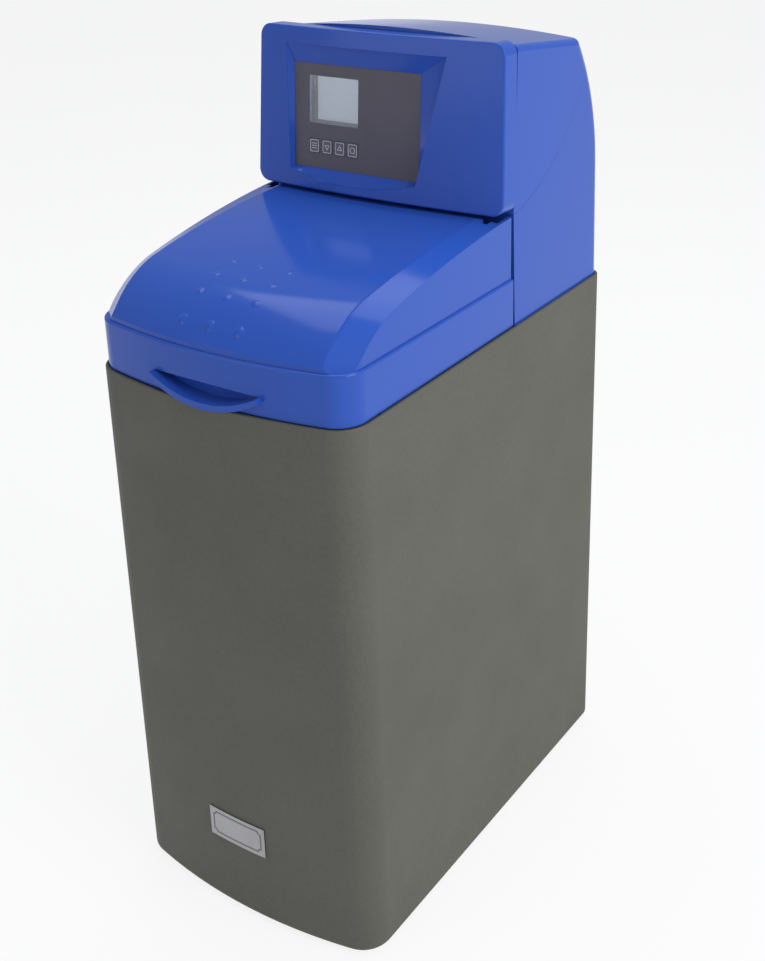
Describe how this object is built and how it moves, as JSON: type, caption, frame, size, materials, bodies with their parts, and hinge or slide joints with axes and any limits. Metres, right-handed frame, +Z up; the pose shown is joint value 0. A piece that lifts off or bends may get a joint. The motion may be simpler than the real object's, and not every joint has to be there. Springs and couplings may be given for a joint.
{
  "type": "water softener",
  "caption": "Slim cabinet water softener with a bowed front, a blue salt lid with a finger scoop, a rear shroud and a raised control head with screen and keys.",
  "frame": {"origin": "on the floor, in the middle of the plan", "axes": "+Z up, -Y out of the cabinet's front, +X to the right as seen from the front"},
  "size_m": [0.26, 0.4438, 0.7367],
  "materials": {
    "cabinet_grey": "satin",
    "blue_shell": "gloss",
    "foil_grey": "satin",
    "key_grey": "satin",
    "screen_pane": "gloss",
    "screen_frame": "gloss",
    "board_green": "satin",
    "plate_silver": "satin",
    "soft_black": "matte",
    "steel": "satin",
    "tank_wrap": "satin",
    "boot_black": "matte",
    "white_plastic": "satin",
    "valve_black": "satin",
    "gear_white": "satin",
    "motor_metal": "satin",
    "knob_grey": "gloss",
    "tube_clear": "satin"
  },
  "bodies": {
    "cabinet": {"cabinet": "cabinet_grey", "feet": "soft_black", "name_plate": "plate_silver", "hinge_pins": "steel", "lid_bumpers": "soft_black", "rear_shroud": "blue_shell", "power_inlet": "valve_black", "resin_tank": "tank_wrap", "tank_boot": "boot_black", "riser_tube": "white_plastic", "lower_distributor": "white_plastic", "upper_distributor": "white_plastic", "deck": "cabinet_grey", "valve_body": "valve_black", "piston_gland": "white_plastic", "idler_shaft": "steel", "drive_plate": "valve_black", "drive_motor": "motor_metal", "meter_cover": "valve_black", "injector_cap": "valve_black", "drain_elbow": "valve_black", "brine_elbow": "white_plastic", "brine_tube": "tube_clear", "port_couplers": "valve_black", "port_clips": "knob_grey", "bypass_body": "valve_black", "union_nuts": "valve_black", "port_tail_inlet": "valve_black", "port_tail_outlet": "valve_black", "brine_well": "white_plastic", "brine_valve": "white_plastic", "air_check": "white_plastic", "rod_guide": "white_plastic", "salt_platform": "white_plastic", "overflow_elbow": "white_plastic", "overflow_nut": "white_plastic"},
    "lid": {"salt_lid": "blue_shell"},
    "hood": {"valve_hood": "blue_shell", "fascia": "blue_shell", "control_foil": "foil_grey", "screen_pane": "screen_pane", "screen_module": "screen_frame", "control_board": "board_green", "board_screws": "steel"},
    "main_gear": {"main_gear": "gear_white"},
    "idler_gear": {"idler_gear": "gear_white"},
    "motor_pinion": {"motor_pinion": "gear_white"},
    "piston": {"piston": "white_plastic"},
    "turbine": {"turbine": "white_plastic"},
    "bypass_knob_inlet": {"bypass_knob_inlet": "knob_grey"},
    "bypass_knob_outlet": {"bypass_knob_outlet": "knob_grey"},
    "brine_well_cap": {"brine_well_cap": "white_plastic"},
    "float": {"float": "white_plastic"},
    "key_1": {"key_1": "key_grey"},
    "key_2": {"key_2": "key_grey"},
    "key_3": {"key_3": "key_grey"},
    "key_4": {"key_4": "key_grey"}
  },
  "joints": [
    {"name": "lid_hinge", "type": "hinge", "parent": "cabinet", "child": "lid", "pos_m": [0, 0.014, 0.586], "axis": [-1, 0, 0], "range_deg": [0, 36]},
    {"name": "hood_lift", "type": "slide", "parent": "cabinet", "child": "hood", "axis": [0, 0, 1], "range_m": [0, 0.15]},
    {"name": "key_1_press", "type": "slide", "parent": "hood", "child": "key_1", "axis": [0, 0.9973, -0.0732], "range_m": [0, 0.0008], "stiffness_N_per_m": 300, "springref_m": -0.0005},
    {"name": "key_2_press", "type": "slide", "parent": "hood", "child": "key_2", "axis": [0, 0.9973, -0.0732], "range_m": [0, 0.0008], "stiffness_N_per_m": 300, "springref_m": -0.0005},
    {"name": "key_3_press", "type": "slide", "parent": "hood", "child": "key_3", "axis": [0, 0.9973, -0.0732], "range_m": [0, 0.0008], "stiffness_N_per_m": 300, "springref_m": -0.0005},
    {"name": "key_4_press", "type": "slide", "parent": "hood", "child": "key_4", "axis": [0, 0.9973, -0.0732], "range_m": [0, 0.0008], "stiffness_N_per_m": 300, "springref_m": -0.0005},
    {"name": "main_gear_turn", "type": "hinge", "parent": "cabinet", "child": "main_gear", "pos_m": [0, 0.051, 0.545], "axis": [0, 1, 0], "range_deg": [-2, 182]},
    {"name": "idler_turn", "type": "hinge", "parent": "cabinet", "child": "idler_gear", "pos_m": [0.01847, 0.051, 0.56864], "axis": [0, 1, 0], "range_deg": [-728, 8]},
    {"name": "pinion_turn", "type": "hinge", "parent": "cabinet", "child": "motor_pinion", "pos_m": [0.04224, 0.051, 0.57198], "axis": [0, 1, 0], "range_deg": [-24, 2184]},
    {"name": "piston_shift", "type": "slide", "parent": "cabinet", "child": "piston", "axis": [0, 1, 0], "range_m": [0, 0.012]},
    {"name": "turbine_spin", "type": "hinge", "parent": "cabinet", "child": "turbine", "pos_m": [0.0445, 0.092, 0.53], "axis": [1, 0, 0], "continuous": true},
    {"name": "inlet_knob_turn", "type": "hinge", "parent": "cabinet", "child": "bypass_knob_inlet", "pos_m": [0.027, 0.147, 0.53], "axis": [0, 0, 1], "range_deg": [0, 90]},
    {"name": "outlet_knob_turn", "type": "hinge", "parent": "cabinet", "child": "bypass_knob_outlet", "pos_m": [-0.027, 0.147, 0.53], "axis": [0, 0, -1], "range_deg": [0, 90]},
    {"name": "well_cap_lift", "type": "slide", "parent": "cabinet", "child": "brine_well_cap", "axis": [0, 0, 1], "range_m": [0, 0.04]},
    {"name": "float_rise", "type": "slide", "parent": "cabinet", "child": "float", "axis": [0, 0, 1], "range_m": [0, 0.012]}
  ],
  "couplings": [
    {"joint": "main_gear_turn", "follows": "piston_shift", "rad_per_m": 261.8},
    {"joint": "idler_turn", "follows": "piston_shift", "rad_per_m": -1047.2},
    {"joint": "pinion_turn", "follows": "piston_shift", "rad_per_m": 3141.6}
  ]
}
